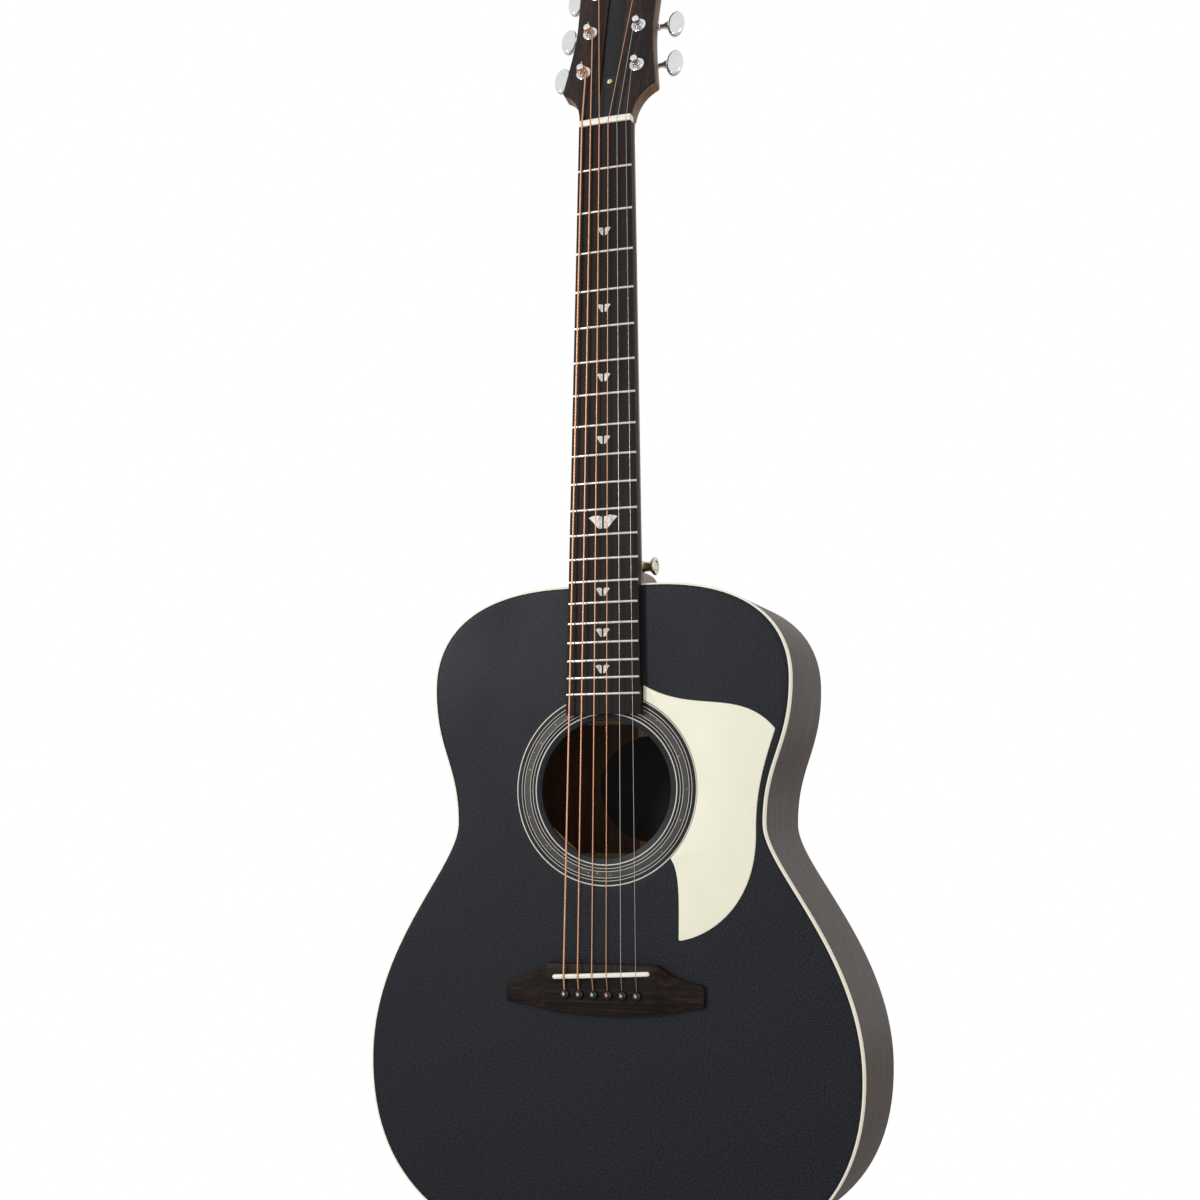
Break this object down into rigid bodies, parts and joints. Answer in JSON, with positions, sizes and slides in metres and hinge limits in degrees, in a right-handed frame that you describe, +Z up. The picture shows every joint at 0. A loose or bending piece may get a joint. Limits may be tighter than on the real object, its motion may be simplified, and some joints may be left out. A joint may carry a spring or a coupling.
{
  "type": "acoustic guitar",
  "caption": "Steel-string acoustic guitar with a dark flat top, cream binding and guard, bolt-on neck and open-backed slanted headstock with turning tuners",
  "frame": {"origin": "the nut's fingerboard edge on the centre line, in the plane of the soundboard's outer face, which is where a neck hanger's yoke meets the neck", "axes": "+X to the treble side, +Y from the soundboard to the back, +Z up the neck to the headstock"},
  "size_m": [0.38, 0.1227, 1.0317],
  "materials": {
    "soundboard_lacquer": "satin black lacquer over spruce",
    "rosette_shell": "dark mottled tortoise plastic",
    "rosette_line": "cream inlay lines",
    "cream_plastic": "smooth cream plastic",
    "side_wood": "dark brown satin wood",
    "inner_wood": "bare light wood",
    "label_paper": "dark blank paper disc",
    "rosewood": "open grained dark rosewood, oiled",
    "bone": "polished cream bone",
    "black_plastic": "smooth black",
    "pearl": "grey white pearl",
    "neck_wood": "dark brown satin wood",
    "fret_metal": "polished fret wire",
    "plain_steel": "plain steel",
    "chrome": "polished chrome",
    "nickel": "nickel plate",
    "wound_bronze": "copper coloured bronze wire"
  },
  "bodies": {
    "guitar": {"soundboard": "soundboard_lacquer", "rosette_band": "rosette_shell", "rosette_rings": "rosette_line", "pickguard": "cream_plastic", "top_binding": "cream_plastic", "bass_side": "side_wood", "treble_side": "side_wood", "back_panel": "side_wood", "top_linings": "inner_wood", "back_linings": "inner_wood", "neck_block": "inner_wood", "tail_block": "inner_wood", "top_braces": "inner_wood", "bridge_plate": "inner_wood", "back_braces": "inner_wood", "back_strip": "inner_wood", "soundhole_label": "label_paper", "bridge": "rosewood", "saddle": "bone", "bridge_pins": "black_plastic", "pin_dots": "pearl", "neck": "neck_wood", "fingerboard": "rosewood", "frets": "fret_metal", "position_markers": "pearl", "nut": "bone", "headstock_overlay": "rosewood", "headstock_panel": "black_plastic", "truss_rod_cover": "black_plastic", "truss_rod": "plain_steel", "neck_bolts": "plain_steel", "heel_cap": "rosewood", "strap_buttons": "nickel", "small_screws": "nickel", "tuner_housings": "chrome", "tuner_bushings": "chrome", "string_1": "plain_steel", "string_2": "plain_steel", "string_3": "wound_bronze", "string_4": "wound_bronze", "string_5": "wound_bronze", "string_6": "wound_bronze"},
    "button_1": {"tuner_button_1": "chrome"},
    "post_1": {"tuner_post_1": "chrome", "string_winding_1": "plain_steel"},
    "button_2": {"tuner_button_2": "chrome"},
    "post_2": {"tuner_post_2": "chrome", "string_winding_2": "plain_steel"},
    "button_3": {"tuner_button_3": "chrome"},
    "post_3": {"tuner_post_3": "chrome", "string_winding_3": "wound_bronze"},
    "button_4": {"tuner_button_4": "chrome"},
    "post_4": {"tuner_post_4": "chrome", "string_winding_4": "wound_bronze"},
    "button_5": {"tuner_button_5": "chrome"},
    "post_5": {"tuner_post_5": "chrome", "string_winding_5": "wound_bronze"},
    "button_6": {"tuner_button_6": "chrome"},
    "post_6": {"tuner_post_6": "chrome", "string_winding_6": "wound_bronze"}
  },
  "joints": [
    {"name": "turn_button_1", "type": "hinge", "parent": "guitar", "child": "button_1", "pos_m": [0.0224, 0.02346, 0.05527], "axis": [1, 0, 0], "continuous": true},
    {"name": "turn_post_1", "type": "hinge", "parent": "guitar", "child": "post_1", "pos_m": [0.0224, 0.02116, 0.04605], "axis": [0, -0.9703, 0.2419], "continuous": true},
    {"name": "turn_button_2", "type": "hinge", "parent": "guitar", "child": "button_2", "pos_m": [0.0205, 0.03275, 0.09253], "axis": [1, 0, 0], "continuous": true},
    {"name": "turn_post_2", "type": "hinge", "parent": "guitar", "child": "post_2", "pos_m": [0.0205, 0.03045, 0.08331], "axis": [0, -0.9703, 0.2419], "continuous": true},
    {"name": "turn_button_3", "type": "hinge", "parent": "guitar", "child": "button_3", "pos_m": [0.0186, 0.04204, 0.12979], "axis": [1, 0, 0], "continuous": true},
    {"name": "turn_post_3", "type": "hinge", "parent": "guitar", "child": "post_3", "pos_m": [0.0186, 0.03974, 0.12057], "axis": [0, -0.9703, 0.2419], "continuous": true},
    {"name": "turn_button_4", "type": "hinge", "parent": "guitar", "child": "button_4", "pos_m": [-0.0186, 0.04204, 0.12979], "axis": [1, 0, 0], "continuous": true},
    {"name": "turn_post_4", "type": "hinge", "parent": "guitar", "child": "post_4", "pos_m": [-0.0186, 0.03974, 0.12057], "axis": [0, -0.9703, 0.2419], "continuous": true},
    {"name": "turn_button_5", "type": "hinge", "parent": "guitar", "child": "button_5", "pos_m": [-0.0205, 0.03275, 0.09253], "axis": [1, 0, 0], "continuous": true},
    {"name": "turn_post_5", "type": "hinge", "parent": "guitar", "child": "post_5", "pos_m": [-0.0205, 0.03045, 0.08331], "axis": [0, -0.9703, 0.2419], "continuous": true},
    {"name": "turn_button_6", "type": "hinge", "parent": "guitar", "child": "button_6", "pos_m": [-0.0224, 0.02346, 0.05527], "axis": [1, 0, 0], "continuous": true},
    {"name": "turn_post_6", "type": "hinge", "parent": "guitar", "child": "post_6", "pos_m": [-0.0224, 0.02116, 0.04605], "axis": [0, -0.9703, 0.2419], "continuous": true}
  ],
  "couplings": [
    {"joint": "turn_post_1", "follows": "turn_button_1", "ratio": 0.055556},
    {"joint": "turn_post_2", "follows": "turn_button_2", "ratio": 0.055556},
    {"joint": "turn_post_3", "follows": "turn_button_3", "ratio": 0.055556},
    {"joint": "turn_post_4", "follows": "turn_button_4", "ratio": 0.055556},
    {"joint": "turn_post_5", "follows": "turn_button_5", "ratio": 0.055556},
    {"joint": "turn_post_6", "follows": "turn_button_6", "ratio": 0.055556}
  ]
}
